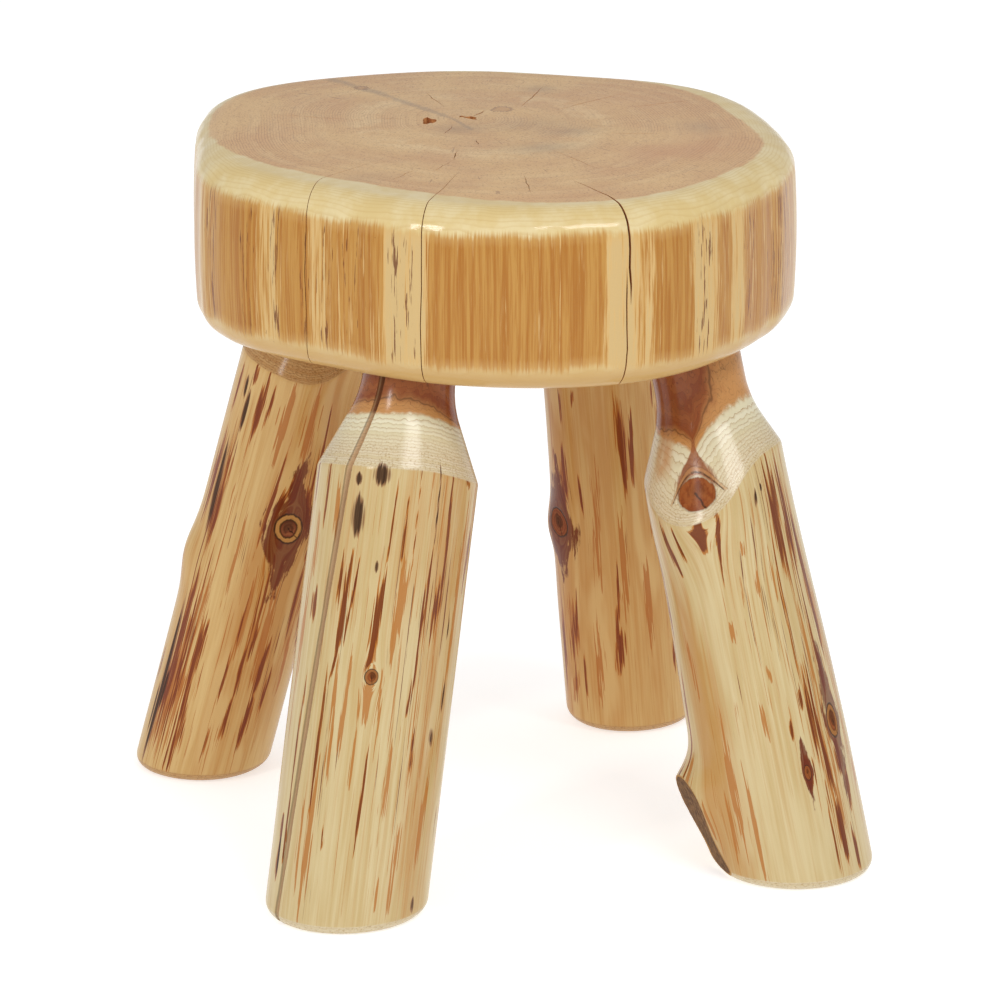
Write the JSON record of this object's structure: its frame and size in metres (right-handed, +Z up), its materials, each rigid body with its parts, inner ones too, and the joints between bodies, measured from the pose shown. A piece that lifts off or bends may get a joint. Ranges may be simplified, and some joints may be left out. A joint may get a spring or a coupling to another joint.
{
  "type": "log footstool",
  "caption": "Low rustic stool: a thick round-edged log slab seat on splayed peeled log legs, joined by turned round tenons in blind mortises.",
  "frame": {"origin": "on the floor, under the centre of the stool's footprint", "axes": "+Z up, -Y towards the front pair of legs, +X towards the right pair of legs"},
  "size_m": [0.3528, 0.3631, 0.406],
  "materials": {
    "seat_wood": "clear gloss lacquer over pine slab, tan heartwood top and amber side",
    "front_leg_wood": "clear gloss lacquer over peeled pine log, cream with red-brown streaks",
    "back_leg_wood": "clear gloss lacquer over peeled pine log, tan with red-brown streaks"
  },
  "bodies": {
    "root": {"seat_slab": "seat_wood", "leg_front_left": "front_leg_wood", "leg_front_right": "front_leg_wood", "leg_back_left": "back_leg_wood", "leg_back_right": "back_leg_wood"}
  },
  "joints": []
}
